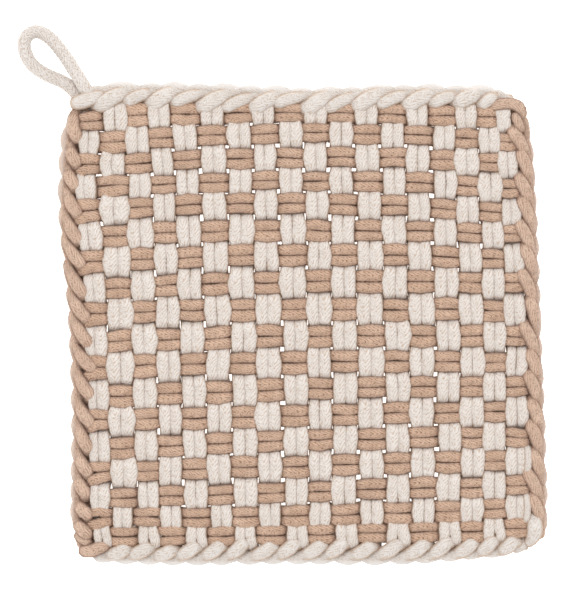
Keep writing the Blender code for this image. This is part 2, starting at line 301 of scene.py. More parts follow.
def buildKnit():
    # rows of V stitches along a cord, and a mask of their crevices for painted shade and roughness: UV is
    # (wale, stitch)
    tree, inp, out = newGroup("knitStitches", {"Cord UV": None, "Slant": 1.5, "Unevenness": 0.5},
                              ("Height", "Crevice"))

    def unevenness(name):
        return mathIn(tree, "SUBTRACT", noiseIn(tree, inp.outputs["Cord UV"], knitShape[name]), 0.5)

    jitter = unevenness("jitter")
    at = partsOf(tree, inp.outputs["Cord UV"])
    wale = mathIn(tree, "MULTIPLY_ADD", jitter, knitShape["columnSway"], at[0])
    side = mathIn(tree, "ABSOLUTE", mathIn(tree, "MULTIPLY_ADD", mathIn(tree, "FRACT", wale), 2.0, -1.0))
    rows = mathIn(tree, "MULTIPLY_ADD", side, inp.outputs["Slant"], at[1])
    rows = mathIn(tree, "MULTIPLY_ADD", unevenness("drift"), inp.outputs["Unevenness"], rows)
    rows = mathIn(tree, "MULTIPLY_ADD", jitter, inp.outputs["Unevenness"], rows)
    leg = mathIn(tree, "ABSOLUTE", mathIn(tree, "SINE", mathIn(tree, "MULTIPLY", rows, math.pi)))
    leg = mathIn(tree, "POWER", leg, knitShape["legFullness"])
    column = mathIn(tree, "SINE", mathIn(tree, "MULTIPLY", side, math.pi))
    column = mathIn(tree, "POWER", mathIn(tree, "MAXIMUM", column, 0.0), knitShape["columnFullness"])
    share = knitShape["columnShare"]
    height = mathIn(tree, "MULTIPLY", leg, mathIn(tree, "MULTIPLY_ADD", column, share, 1 - share))
    tree.links.new(height, out.inputs["Height"])
    # the crevices between stitches: the mask for their painted shade, broken up by noise
    crevice = mathIn(tree, "SUBTRACT", 1.0, rampIn(tree, height, *knitShape["crevice"]))
    unbroken = mathIn(tree, "MULTIPLY_ADD", unevenness("creviceBreaks"), knitShape["breakGain"],
                    knitShape["breakLevel"], clamp=True)
    tree.links.new(mathIn(tree, "MULTIPLY", crevice, unbroken), out.inputs["Crevice"])
    return tree


def buildFibre():
    # loose fibres and slubs, finer than the stitches
    tree, inp, out = newGroup("cottonFibre", {"Cord UV": None}, ("Fluff", "Mottle"))

    stretch = tree.nodes.new("ShaderNodeMapping")
    stretch.inputs["Scale"].default_value = fibreShape["stretch"]
    tree.links.new(inp.outputs["Cord UV"], stretch.inputs["Vector"])
    fluff = rampIn(tree, noiseIn(tree, stretch.outputs[0], fibreShape["noise"]), *fibreShape["fluff"])
    tree.links.new(fluff, out.inputs["Fluff"])
    place = tree.nodes.new("ShaderNodeTexCoord").outputs["Object"]
    mottle = rampIn(tree, noiseIn(tree, place, fibreShape["mottleNoise"]), *fibreShape["mottle"])
    tree.links.new(mottle, out.inputs["Mottle"])
    return tree


def buildFlankShade():
    # painted shade on the upright flanks of a cord near the two faces of the mat,
    # where it is pressed against its neighbours; Own Sides 1 leaves out the ends, where a cord dives;
    # UV is (wale, stitch), six wales round
    tree, inp, out = newGroup("flankShade", {"Cord UV": None, "Own Sides": 0.0, "Middle": matMiddle * mm,
                                               "Level": 0.86, "Upright": 0.62}, ("Mask",))
    place = tree.nodes.new("ShaderNodeTexCoord")
    height = partsOf(tree, place.outputs["Object"])[2]
    level = mathIn(tree, "ABSOLUTE", partsOf(tree, place.outputs["Normal"])[2])
    span = mathIn(tree, "SUBTRACT", inp.outputs["Level"], inp.outputs["Upright"])
    tilted = mathIn(tree, "DIVIDE", mathIn(tree, "SUBTRACT", inp.outputs["Level"], level), span, clamp=True)
    away = mathIn(tree, "ABSOLUTE", mathIn(tree, "SUBTRACT", height, inp.outputs["Middle"]))
    shallow = rampIn(tree, away, *flankShape["shallow"])
    turned = mathIn(tree, "PINGPONG", partsOf(tree, inp.outputs["Cord UV"])[0], flankShape["sideWales"])
    inward = rampIn(tree, turned, *flankShape["ownSide"])
    kept = mathIn(tree, "SUBTRACT", 1.0, mathIn(tree, "MULTIPLY", inward, inp.outputs["Own Sides"]))
    mask = mathIn(tree, "MULTIPLY", mathIn(tree, "MULTIPLY", tilted, shallow), kept)
    tree.links.new(mask, out.inputs["Mask"])
    return tree


def buildDeepShade():
    # painted shade at the half height of the mat, where the cords dive between each other
    tree, inp, out = newGroup("deepShade", {"Middle": matMiddle * mm, "Shallow": 0.0030}, ("Mask",))
    height = partsOf(tree, tree.nodes.new("ShaderNodeTexCoord").outputs["Object"])[2]
    away = mathIn(tree, "ABSOLUTE", mathIn(tree, "SUBTRACT", height, inp.outputs["Middle"]))
    near = mathIn(tree, "SUBTRACT", 1.0, mathIn(tree, "DIVIDE", away, inp.outputs["Shallow"]), clamp=True)
    tree.links.new(near, out.inputs["Mask"])
    return tree


def buildRimSheen():
    # a painted sheen on the fluffed outermost cords, paler than the rest; UV is (mm inside the mat's outer
    # line, 0)
    tree, inp, out = newGroup("rimSheen", {"Full": 0.5, "None": 2.0}, ("Mask",))
    uv = tree.nodes.new("ShaderNodeUVMap")
    uv.uv_map = "rim"
    span = mathIn(tree, "SUBTRACT", inp.outputs["None"], inp.outputs["Full"])
    left = mathIn(tree, "SUBTRACT", inp.outputs["None"], partsOf(tree, uv.outputs["UV"])[0])
    tree.links.new(mathIn(tree, "DIVIDE", left, span, clamp=True), out.inputs["Mask"])
    return tree


knitStitches = buildKnit()
cottonFibre = buildFibre()
flankShade = buildFlankShade()
deepShade = buildDeepShade()
rimSheen = buildRimSheen()


def cotton(name, look):
    # the material of one kind of cord
    material = bpy.data.materials.new(name)
    material.use_nodes = True
    tree = material.node_tree
    shader = tree.nodes["Principled BSDF"]
    uv = tree.nodes.new("ShaderNodeUVMap")
    uv.uv_map = "cord"

    def grouped(group, **values):
        node = tree.nodes.new("ShaderNodeGroup")
        node.node_tree = group
        setInputs(node, values)
        if "Cord UV" in node.inputs:
            tree.links.new(uv.outputs["UV"], node.inputs["Cord UV"])
        return node.outputs

    def blend(amount, a, b):
        node = tree.nodes.new("ShaderNodeMix")
        node.data_type = "RGBA"
        tree.links.new(amount, node.inputs["Factor"])
        for socket, value in ((node.inputs["A"], a), (node.inputs["B"], b)):
            if isinstance(value, tuple):
                socket.default_value = (*value, 1.0)
            else:
                tree.links.new(value, socket)
        return node.outputs["Result"]

    knit = grouped(knitStitches, Slant=look["slant"], Unevenness=look["unevenness"])
    fibre = grouped(cottonFibre)
    coats = [     # (mask, depth, colour) over the yarn's own mottled colour; all but the fluff are painted shade and sheen
        (fibre["Fluff"], look["fluff"], look["light"]),
        # painted shade in the crevices between stitches
        (knit["Crevice"], look["creviceShadeDepth"], look["crevice"]),
    ]
    # painted shade down between the cords
    if look["deepShadeDepth"]:
        coats.append((grouped(deepShade)["Mask"], look["deepShadeDepth"], look["side"]))
    # painted shade on the flanks pressed against the neighbours
    if look["flankShadeDepth"]:
        level, upright = look["sideFrom"]
        flank = grouped(flankShade, **{"Level": level, "Upright": upright, "Own Sides": look["ownSides"]})
        coats.append((flank["Mask"], look["flankShadeDepth"], look["side"]))
    # a painted sheen along the mat's outer line
    if look["rimSheenDepth"]:
        coats.append((grouped(rimSheen)["Mask"], look["rimSheenDepth"], look["rim"]))
    yarn = blend(fibre["Mottle"], look["dark"], look["light"])
    for mask, depth, colour in coats:
        yarn = blend(mathIn(tree, "MULTIPLY", mask, depth), yarn, colour)
    tree.links.new(yarn, shader.inputs["Base Color"])

    height = mathIn(tree, "MULTIPLY_ADD", fibre["Fluff"], yarnShape["fluffHeight"], knit["Height"])
    bump = tree.nodes.new("ShaderNodeBump")
    setInputs(bump, {"Strength": look["relief"], "Distance": yarnShape["bumpDistance"]})
    tree.links.new(height, bump.inputs["Height"])
    tree.links.new(bump.outputs["Normal"], shader.inputs["Normal"])
    roughness = mathIn(tree, "MULTIPLY_ADD", knit["Crevice"], yarnShape["creviceRoughness"],
                       yarnShape["roughness"])
    tree.links.new(roughness, shader.inputs["Roughness"])
    setInputs(shader, {**yarnShape["surface"], "Sheen Weight": look["sheen"]})
    return material


creamCotton = {
    "light": (0.79, 0.73, 0.682),
    "dark": (0.74, 0.672, 0.614),
    "crevice": (0.53, 0.385, 0.275),    # painted shade between stitches
    "creviceShadeDepth": 0.84,
    "side": (0.50, 0.335, 0.215),       # painted shade on pressed flanks
    "flankShadeDepth": 0.85,
    "sideFrom": (0.74, 0.50),           # how level the surface is where that starts and where it is full
    "ownSides": 0.9,                    # 1 keeps it off the cord's ends
    "deepShadeDepth": 0.0,                   # painted shade of the same colour, down between the cords
    "rim": (0.80, 0.755, 0.72),         # painted sheen along the mat's outer line
    "rimSheenDepth": 0.0,
    "fluff": 0.5,
    "relief": 0.62,
    "sheen": 0.22,
    "slant": 1.5,                       # of a stitch's legs, in stitches
    "unevenness": 1.7,
}
tanCotton = {
    **creamCotton,
    "light": (0.77, 0.53, 0.387),
    "dark": (0.64, 0.42, 0.293),
    # painted shade between stitches
    "crevice": (0.26, 0.135, 0.08),
    "creviceShadeDepth": 0.9,
    # painted shade on pressed flanks
    "side": (0.29, 0.145, 0.085),
    "flankShadeDepth": 0.7,
    "sideFrom": (0.66, 0.44),
    "ownSides": 0.5,
    # painted shade down between the cords
    "deepShadeDepth": 0.15,
    # painted sheen along the mat's outer line
    "rim": (0.78, 0.635, 0.545),
    "relief": 0.85,
    "sheen": 0.2,
}
# the edge's stitches: painted shade on all their flanks, none down between the cords, and a painted sheen
# along the outer line
edgingLook = {"deepShadeDepth": 0.0, "flankShadeDepth": 0.9, "sideFrom": (0.76, 0.38), "rimSheenDepth": 0.8, "ownSides": 0.0}
creamEdging = {**creamCotton, **edgingLook, "light": (0.755, 0.71, 0.672), "dark": (0.705, 0.653, 0.605)}
tanEdging = {**tanCotton, **edgingLook, "light": (0.755, 0.54, 0.41), "dark": (0.655, 0.45, 0.335),
             "creviceShadeDepth": 0.72}
# the hanging cord: painted shade between its stitches, none on its flanks
creamHanging = {**creamCotton, "light": (0.775, 0.725, 0.685), "dark": (0.735, 0.675, 0.625),
                "crevice": (0.43, 0.29, 0.19), "creviceShadeDepth": 0.75, "flankShadeDepth": 0.0, "slant": 1.3,
                "unevenness": 1.0, "relief": 0.65}
creamLoopCotton = cotton("creamLoopCotton", creamCotton)
tanLoopCotton = cotton("tanLoopCotton", tanCotton)
creamEdgingCotton = cotton("creamEdgingCotton", creamEdging)
tanEdgingCotton = cotton("tanEdgingCotton", tanEdging)
creamHangingCotton = cotton("creamHangingCotton", creamHanging)
print("cotton ready")


# The weave.

weave = {
    "lift": 2.5,              # a loop's middle above or below the mat's middle, at a crossing
    "stepsPerCrossing": 16,
    "footSteps": 3,           # in each of the two first and last spans
    "stitch": 1.75,           # of the knitted cord, along it
    "ringsPerStitch": 3,
    "wander": 0.33,           # uneven placing, give or take
    "uneven": 0.09,           # one cord of a pair thicker than the other
    "bulge": 0.05,            # a pair wider than the next
    "footHeight": 2.6,        # where a loop runs under the stitches of the edge
    "footInset": (4.8, 3.0),  # its last two points, in from the outer line
    "footRise": 0.8,          # and how much higher the last one lies
    "underSplay": 0.5,        # what a pair that ends under the first crossing keeps of the edge's splay
    "sway": 0.13,             # a cord's own slow sway to the sides
    "swayEvery": 6,           # steps
    "swell": 0.025,           # and in thickness, as a share
    "swellEvery": 7,
    "relief": 0.14,
    "rough": 0.08,
}
warp = {      # the cream loops, read near the top, middle and bottom of the mat
    "readAt": (83.1, 1.5, -84.3),
    "loops": ((-90.2, -87.6, -85.6), (-79.3, -77.4, -75.9), (-69.7, -67.2, -65.1), (-60.2, -56.9, -55.6),
              (-49.8, -46.9, -44.8), (-38.5, -36.6, -34.7), (-27.0, -25.5, -24.5), (-16.7, -15.1, -14.0),
              (-5.9, -3.9, -3.1), (4.8, 6.3, 6.7), (15.5, 16.9, 17.2), (26.2, 28.0, 28.2), (37.0, 38.7, 39.3),
              (47.5, 49.0, 50.0), (58.4, 60.2, 60.7), (67.8, 69.9, 70.5), (77.2, 79.7, 79.6),
              (84.6, 88.3, 89.1)),
    "fill": 1.05,             # two cords' width as a share of the spacing
    "fillAt": {0: 0.97, 1: 1.09, 15: 1.16, 16: 1.17, 17: 1.14},    # the same for those that differ
    "press": 0.875,           # how close a pair's middles lie, as a share of their width
    "squareness": 4.0,
    "cordHigh": 4.7,
    "snap": 3.2,              # how abruptly a loop dives between two crossings
    "pinch": 0.10,            # narrower where the cords dive
    "flatten": 0.1,           # and thinner
    "plump": 0.5,             # thicker over a wide place, thinner over a narrow one
    "lean": {0: 0.14},        # loops whose right cord is the thicker
    "together": {(17, 0): 0.25},    # (loop, crossing) where a pair closes to one
    "footSplay": ((1.0, 1.0), (0.95, 1.7)),    # more for the two cords' feet, at the top and at the bottom
    "pulled": {               # where it lies out of line, (loop, crossing): (mm to the right, share of width)
        (0, 1): (-0.4, 0.95), (0, 2): (-1.3, 0.9), (0, 3): (-2.6, 0.74), (0, 4): (-2.3, 0.92),
        (0, 5): (-1.7, 0.95), (0, 6): (-0.9, 1.0), (0, 17): (0.8, 1.05),
        (1, 2): (-1.5, 1.0), (1, 4): (-1.5, 1.12), (1, 6): (0.0, 1.15), (1, 8): (0.4, 1.12),
        (1, 10): (0.4, 1.18), (1, 12): (0.0, 1.08), (1, 14): (0.9, 1.14), (1, 16): (0.0, 0.95),
        (2, 1): (0.0, 1.13), (2, 5): (0.0, 1.15), (2, 7): (0.0, 1.1), (2, 9): (-0.2, 1.1),
        (15, 2): (0.0, 1.08), (16, 1): (-0.4, 1.15), (16, 3): (-0.2, 1.15),
        (17, 0): (-1.3, 1.4), (17, 2): (-0.4, 1.2), (17, 4): (-0.2, 1.05),
    },
}
weft = {      # the tan loops, read near the left, middle and right
    "readAt": (-74.9, 0.4, 73.6),
    "loops": ((87.2, 88.1, 86.5), (76.4, 79.7, 77.0), (66.8, 69.5, 67.6), (57.1, 59.8, 57.3),
              (48.3, 50.2, 47.1), (37.0, 39.1, 37.7), (26.6, 28.7, 27.4), (14.9, 17.4, 17.2),
              (4.8, 5.9, 5.6), (-7.5, -5.2, -5.2), (-17.8, -16.3, -16.1), (-30.3, -27.4, -26.4),
              (-40.0, -38.5, -36.8), (-52.0, -49.0, -47.5), (-61.9, -59.6, -57.7), (-73.0, -70.3, -68.3),
              (-81.2, -80.4, -78.0), (-89.0, -88.4, -86.4)),
    "fill": 0.88,
    "fillAt": {0: 1.03, 1: 0.92, 16: 1.06, 17: 1.12},
    "press": 0.965,
    "squareness": 2.9,
    "cordHigh": 4.6,
    "snap": 2.3,
    "pinch": 0.05,
    "flatten": 0.18,
    "plump": 0.25,
    "lean": {},
    "together": {(0, -1): 0.9, (0, -2): 0.9, (0, 7): 0.92, (0, 8): 0.92},
    "footSplay": ((1.6, 0.8), (1.0, 1.0)),
    "pulled": {               # (loop, crossing): (mm up, share of width)
        (0, 0): (-2.7, 0.86), (0, 1): (-0.8, 1.08), (1, 0): (0.7, 1.1), (1, 1): (-0.2, 1.06),
        (2, 0): (0.6, 1.15), (3, 0): (1.3, 1.15), (3, 1): (1.1, 1.2), (4, 0): (-0.4, 1.05),
        (16, 0): (-0.2, 1.1), (17, 15): (-0.4, 1.06),
    },
}


def waver(length, every, size):
    # a slow random sway with a fresh value every few steps
    knots = rng.normal(0, size, length // every + 3)
    rows = np.column_stack([np.arange(len(knots)), knots])
    return splineThrough(rows, [every] * (len(knots) - 1))[:length, 1]


def readOff(kind, number, at):
    # the curve through a loop's three readings
    return np.polyval(np.polyfit(kind["readAt"], kind["loops"][number], 2), at)


def giveOrTake(size, *shape):
    return size * (rng.random(shape) * 2 - 1)


count = len(warp["loops"])
meetingRounds = 4                       # until a warp and a weft loop agree on where they cross
crossX = np.zeros((count, count))       # [column, row]
crossY = np.zeros((count, count))
for column in range(count):
    for row in range(count):
        y = readOff(weft, row, 0.0)
        for _ in range(meetingRounds):
            x = readOff(warp, column, y)
            y = readOff(weft, row, x)
        crossX[column, row] = x
        crossY[column, row] = y
warpX = crossX + giveOrTake(weave["wander"], count, count)
weftY = crossY + giveOrTake(weave["wander"], count, count)
warpShare = np.ones((count, count))     # [loop, crossing]
weftShare = np.ones((count, count))
for place, (aside, share) in warp["pulled"].items():
    warpX[place] += aside
    crossX[place] += aside
    warpShare[place] = share
for place, (aside, share) in weft["pulled"].items():
    weftY[place[::-1]] += aside
    crossY[place[::-1]] += aside
    weftShare[place] = share

edging = {    # for each side: the outer line at five even steps from start to stop, along the side
    "left": {"start": -88.6, "stop": 91.6, "outer": (99.5, 103.1, 99.3, 97.5, 97.8), "splay": 1.6},
    "bottom": {"start": -81.2, "stop": 93.2, "outer": (100.0, 101.1, 100.6, 100.9, 97.6), "splay": 1.3},
    "right": {"start": -76.6, "stop": 89.4, "outer": (102.3, 101.2, 99.5, 98.1, 95.6), "splay": 0.9},
    "top": {"start": -79.2, "stop": 86.6, "outer": (98.8, 100.1, 98.7, 100.3, 101.0), "splay": 1.1},
}


outline = {
    "steps": 20,         # between two of the outer line's five places
    "beyond": 12,        # how far past its ends depths are still read
    "samples": 60,
}


def outerLine(side, along):
    edge = edging[side]
    places = np.linspace(edge["start"], edge["stop"], len(edge["outer"]))
    fine = splineThrough(np.column_stack([places, edge["outer"]]), [outline["steps"]] * (len(places) - 1))
    return float(np.interp(along, fine[:, 0], fine[:, 1]))


def alongOut(side, x, y):
    # along runs down the left, right along the bottom, and so on round; out is away from the mat's middle
    return {"left": (-y, -x), "bottom": (x, -y), "right": (y, x), "top": (-x, y)}[side]


def fromSide(side, points):
    # (along, out, up) to (x, y, z); columns past the third ride along
    p = np.asarray(points, float)
    a = p[:, 0]
    o = p[:, 1]
    x, y = {"left": (-o, -a), "bottom": (a, -o), "right": (o, a), "top": (-a, o)}[side]
    return np.column_stack([x, y, p[:, 2:]])


def insideOutline(points):
    # how far in from the mat's outer line, in mm
    depths = []
    for side, edge in edging.items():
        along, out = alongOut(side, points[:, 0], points[:, 1])
        places = np.linspace(edge["start"] - outline["beyond"], edge["stop"] + outline["beyond"],
                             outline["samples"])
        depths.append(np.interp(along, places, [outerLine(side, place) for place in places]) - out)
    return np.min(depths, axis=0)


bulgeShare = giveOrTake(weave["bulge"], 2, count, count)
unevenShare = giveOrTake(weave["uneven"], 2, count, count)


def dive(t, snap):
    return (1 - np.tanh(snap * np.cos(np.pi * t)) / math.tanh(snap)) / 2


def footOf(side, place):
    # the last two points of a loop, in under the stitches of the edge
    along = alongOut(side, *place)[0]
    out = outerLine(side, min(max(along, edging[side]["start"]), edging[side]["stop"]))
    deep, end = weave["footInset"]
    low = weave["footHeight"]
    return fromSide(side, [(along, out - deep, low), (along, out - end, low + weave["footRise"])])


def wovenCord(kind, number, hand):
    # one of a loop's two cords, from its foot at one edge to its foot at the other
    isWarp = kind is warp
    if isWarp:
        places = np.column_stack([warpX[number], crossY[number]])
        ups = [(number + row) % 2 == 1 for row in range(count)]
        sides = ("top", "bottom")
        spacing = np.abs(np.gradient(crossX, axis=0))[number]
        reach = np.abs(np.gradient(crossY[number]))
        pulled = warpShare[number]
    else:
        places = np.column_stack([crossX[:, number], weftY[:, number]])
        ups = [(number + column) % 2 == 0 for column in range(count)]
        sides = ("left", "right")
        spacing = np.abs(np.gradient(crossY, axis=1))[:, number]
        reach = np.abs(np.gradient(crossX[:, number]))
        pulled = weftShare[number]
    uneven = unevenShare[int(isWarp), number] + kind["lean"].get(number, 0)
    half = kind["fillAt"].get(number, kind["fill"]) * spacing / 4
    half = half * (1 + kind["plump"] * (reach / reach.mean() - 1))
    half = half * pulled
    half = half * (1 + bulgeShare[int(isWarp), number]) * (1 + hand * uneven)

    # the loop's middle line, by its feet and crossings
    heights = [matMiddle + (weave["lift"] if up else -weave["lift"]) for up in ups]
    rows = np.vstack([footOf(sides[0], places[0])[::-1], np.column_stack([places, heights]),
                      footOf(sides[1], places[-1])])
    footSteps = [weave["footSteps"]]
    steps = footSteps + [weave["stepsPerCrossing"]] * (len(rows) - 3) + footSteps
    plan = splineThrough(rows[:, :2], steps)

    # what changes from one of those rows to the next
    fans = []
    for end, side in enumerate(sides):
        over = ups[-end]
        fan = 1 + (edging[side]["splay"] - 1) * (1.0 if over else weave["underSplay"])
        if over:
            fan *= kind["footSplay"][end][0 if hand < 0 else 1]
        fans.append(fan)
    halfs = np.concatenate([[half[0]] * 2, half, [half[-1]] * 2])
    splays = np.concatenate([[fans[0]] * 2, np.ones(count), [fans[1]] * 2])
    for (loop, crossing), share in kind["together"].items():
        if loop == number:
            splays[crossing + 2] = share

    def between(values, k, t):
        return values[k] + (values[k + 1] - values[k]) * t

    halfHigh = kind["cordHigh"] / 2
    spans = []
    for k, n in enumerate(steps):
        t = np.arange(n) / n
        diving = np.sin(np.pi * t) ** 2
        spans.append(np.column_stack([between(rows[:, 2], k, dive(t, kind["snap"])),
                                      between(halfs, k, t) * (1 - kind["pinch"] * diving),
                                      halfHigh * (1 - kind["flatten"] * diving),
                                      between(splays, k, t)]))
    spans.append([[rows[-1, 2], halfs[-1], halfHigh, splays[-1]]])
    z, width, high, splay = np.vstack(spans).T

    # this cord, to its side of that line
    width = width * (1 + waver(len(width), weave["swellEvery"], weave["swell"]))
    path = np.column_stack([plan, z])
    aside = hand * width * kind["press"] * splay + waver(len(width), weave["swayEvery"], weave["sway"])
    path = path + levelSideways(path) * aside[:, None]
    cord = evenSteps(np.column_stack([path, width, high]), weave["stitch"] / weave["ringsPerStitch"])
    path = cord[:, :3]
    return cordSurface(path, levelSideways(path), cord[:, 3], cord[:, 4], kind["squareness"],
                       relief=weave["relief"], rough=weave["rough"])


thirdCord = {            # a short narrow strand over the right cord of the last cream loop
    "crossings": (14, 16),
    "aside": 4.5,        # from the loop's middle
    "half": 1.6,
    "relief": 0.12,
    "rough": 0.06,
    "route": ((-0.6, 5.6, 5.4), (-0.2, 4.0, 8.6), (0.0, 0.0, 9.3), (-0.4, -4.0, 8.6), (-0.8, -5.6, 5.4)),
}


def thirdStrand(crossing):
    place = np.array([warpX[-1, crossing] + thirdCord["aside"], crossY[-1, crossing], 0.0])
    path = evenSpline(place + thirdCord["route"], weave["stitch"] / weave["ringsPerStitch"])
    size = np.full(len(path), thirdCord["half"])
    return cordSurface(path, levelSideways(path), size, size, relief=thirdCord["relief"],
                       rough=thirdCord["rough"])


for number in range(count):
    label = f"{number + 1:02d}"
    cords = [wovenCord(warp, number, hand) for hand in (-1, 1)]
    if number == count - 1:
        cords += [thirdStrand(crossing) for crossing in thirdCord["crossings"]]
    piece = cordPiece("warp_cords_" + label, cords, creamLoopCotton)
    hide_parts("warp_loop_" + label)
for number in range(count):
    label = f"{number + 1:02d}"
    cords = [wovenCord(weft, number, hand) for hand in (-1, 1)]
    piece = cordPiece("weft_cords_" + label, cords, tanLoopCotton)
    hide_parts("weft_loop_" + label)
print("weave ready")


# The chain-stitched edge.

chain = {
    "topHeight": 8.3,         # the middle of the leg that shows, above the surface
    "halfHigh": 2.75,         # at most
    "roundness": 0.98,        # of a leg, its height by its width
    "squareness": 2.2,
    "arch": 0.8,              # how far a leg bows outwards
    "archFullness": 0.8,      # below 1, fuller than a sine
    "step": 0.62,
    "tailAlong": 1.2,         # where a leg starts, past its loop
    "headShare": 0.95,        # of the half width, from a leg's tip back to its middle
    "backInset": 2.4,         # the back leg's middle, in from the outer line
    "wide": 1.28,             # the wider stitches, over the loops that lie under the first crossing
    "wideOut": 1.2,           # and how much further out their tails lie
}
stitchRoute = {
    # (along, out, up, share of the half width), from the loop's place on the outer line
    "foot": ((-3.2, -5.6, 2.7, 0.75), (-0.8, -4.9, 3.6, 0.8)),
    # (share of the leg, level, above it, share of the half width), from its tail to its head
    "leg": ((0.0, "tail", 0.0, 0.84), (0.3, "tail", 1.2, 0.98), (0.55, "top", -0.4, 1.08),
            (0.8, "top", 0.0, 1.14), (1.0, "top", -0.3, 1.10)),
    # (along, out, up, share of the half width), from the head's tip, and out from its middle
    "head": ((0.3, 0.1, 4.8, 0.95), (0.1, 2.0, 2.5, 0.8)),
    # the same, from the head's tip, and out from the back leg's middle
    "back": ((-2.8, -1.8, 2.6, 0.8), (-6.8, -0.6, 4.0, 0.88), (-11.0, 0.2, 4.8, 0.96),
             (-14.8, -0.6, 4.5, 0.88), (-17.8, -2.5, 3.5, 0.78), (-20.0, -4.2, 2.8, 0.7)),
    "firstBack": 2,           # how many of those a side's first stitch keeps
}
plainStart = {                # a side's first stitch, where nothing lies before it
    "startFoot": ((-4.6, -3.4, 4.4, 0.8),),
    "startBack": ((-11.2, 0.1, 5.3, 0.85), (-15.2, -0.7, 5.4, 0.85)),
}
# "heads" says where the rounded head of each stitch's front leg ends, (along, out), in the order of working.
stitches = {
    "left": {
        "half": 2.6,
        "inward": 0.9,                # how much further in than read the heads are set
        "tailInset": (3.3, 3.0),      # the tails, in from the outer line, at the side's start and stop
        "tailHeight": 5.2,
        "first": 1,                   # of its stitches that shows, if not the very first
        "heads": (
            (-76.8, 93.9), (-65.5, 95.8), (-56.1, 96.4), (-44.6, 95.2), (-33.7, 95.0), (-23.4, 93.3),
            (-11.1, 92.7), (-0.8, 91.4), (9.8, 90.4), (20.1, 88.7), (31.6, 89.7), (42.9, 89.8),
            (53.8, 90.6), (63.8, 90.8), (73.0, 91.8), (81.6, 90.4), (89.7, 90.6)),
    },
    "bottom": {
        **plainStart,
        "half": 2.75,
        "inward": 0.0,
        "tailInset": (3.6, 3.6),
        "tailHeight": 5.0,
        "heads": (
            (-72.9, 94.3), (-63.5, 93.4), (-53.6, 94.7), (-43.8, 92.7), (-33.4, 92.1), (-23.6, 90.8),
            (-11.8, 92.7), (-2.0, 91.0), (8.8, 92.0), (17.9, 91.0), (29.5, 92.6), (40.9, 91.6),
            (52.2, 91.6), (61.9, 90.3), (72.3, 91.0), (80.6, 90.0), (89.5, 90.3)),
    },
    "right": {
        **plainStart,
        "half": 2.6,
        "inward": -0.6,
        "tailInset": (3.2, 3.2),
        "tailHeight": 5.2,
        "heads": (
            (-71.6, 94.5), (-60.7, 92.3), (-53.0, 95.1), (-40.8, 93.9), (-31.8, 94.5), (-20.0, 92.9),
            (-11.3, 93.9), (0.2, 91.0), (10.9, 93.9), (22.5, 90.2), (32.8, 91.4), (42.9, 89.1),
            (52.9, 90.2), (62.3, 88.9), (72.4, 89.8), (81.8, 85.8)),
    },
    "top": {
        "startFoot": ((-1.3, -6.3, 4.4, 0.8),),
        "startBack": ((-9.2, -1.2, 4.8, 0.85), (-11.2, -3.6, 3.8, 0.85)),
        "half": 2.5,
        "inward": -0.4,
        "wide": range(1, 16, 2),
        "tailInset": (4.0, 4.0),
        "tailHeight": 4.7,
        "heads": (
            (-73.2, 90.7), (-62.8, 91.7), (-52.9, 91.7), (-41.8, 90.4), (-30.8, 91.0), (-20.5, 89.7),
            (-9.2, 89.3), (0.5, 88.4), (12.4, 91.6), (22.6, 89.1), (33.9, 89.7), (44.4, 89.4),
            (55.0, 92.0), (65.3, 90.7), (74.9, 92.3), (87.4, 89.8)),
    },
}
loopPlaces = {    # each loop's own place along the side, in the order of working
    "left": [-crossY[0, row] for row in range(count)],
    "bottom": [crossX[column, -1] for column in range(count)],
    "right": [crossY[-1, row] for row in range(count - 1, -1, -1)],
    "top": [-crossX[column, 0] for column in range(count - 1, -1, -1)],
}


def moved(points, along, out):
    return [[along + a, out + o, z, share] for a, o, z, share in points]


def chainStitch(side, number):
    # one loop's end: up between the last stitch's legs, along to the head, under, and back outside
    work = stitches[side]
    edge = edging[side]
    own = loopPlaces[side][number]
    tip = np.array(work["heads"][number]) - [0, work["inward"]]
    isWide = number in work.get("wide", ())
    half = work["half"] * (chain["wide"] if isWide else 1)
    outTail = outerLine(side, own)
    inset = np.interp(own, (edge["start"], edge["stop"]), work["tailInset"])
    tail = np.array([own + chain["tailAlong"], outTail - inset + (chain["wideOut"] if isWide else 0)])
    middle = tip + unit(tail - tip) * half * chain["headShare"]
    levels = {"tail": work["tailHeight"], "top": chain["topHeight"]}
    leg = []
    for share, level, above, width in stitchRoute["leg"]:
        bow = chain["arch"] * math.sin(math.pi * share) ** chain["archFullness"]
        leg.append([*(tail + (middle - tail) * share + [0, bow]), levels[level] + above, width])
    foot = stitchRoute["foot"]
    back = stitchRoute["back"]
    if number == 0:
        foot = work["startFoot"]
        back = back[:stitchRoute["firstBack"]] + work["startBack"]
    route = moved(foot, own, outTail) + leg + moved(stitchRoute["head"], tip[0], middle[1])
    route += moved(back, tip[0], outerLine(side, tip[0]) - chain["backInset"])
    route = evenSpline(fromSide(side, route), chain["step"])
    path = route[:, :3]
    width = route[:, 3] * half
    high = np.minimum(width * chain["roundness"], chain["halfHigh"])
    highest = int(np.argmax(path[:, 2]))
    return cordSurface(path, carriedSideways(path, highest), width, high, squareness=chain["squareness"])


def freeCord(points, half, flat=0.93, step=chain["step"], levelAt=None, **section):
    # a cord through (x, y, z, share of width), level at one of its steps or else at its highest
    route = evenSpline(points, step)
    path = route[:, :3]
    width = route[:, 3] * half
    if levelAt is None:
        levelAt = int(np.argmax(path[:, 2]))
    return cordSurface(path, carriedSideways(path, levelAt), width, width * flat, **section)


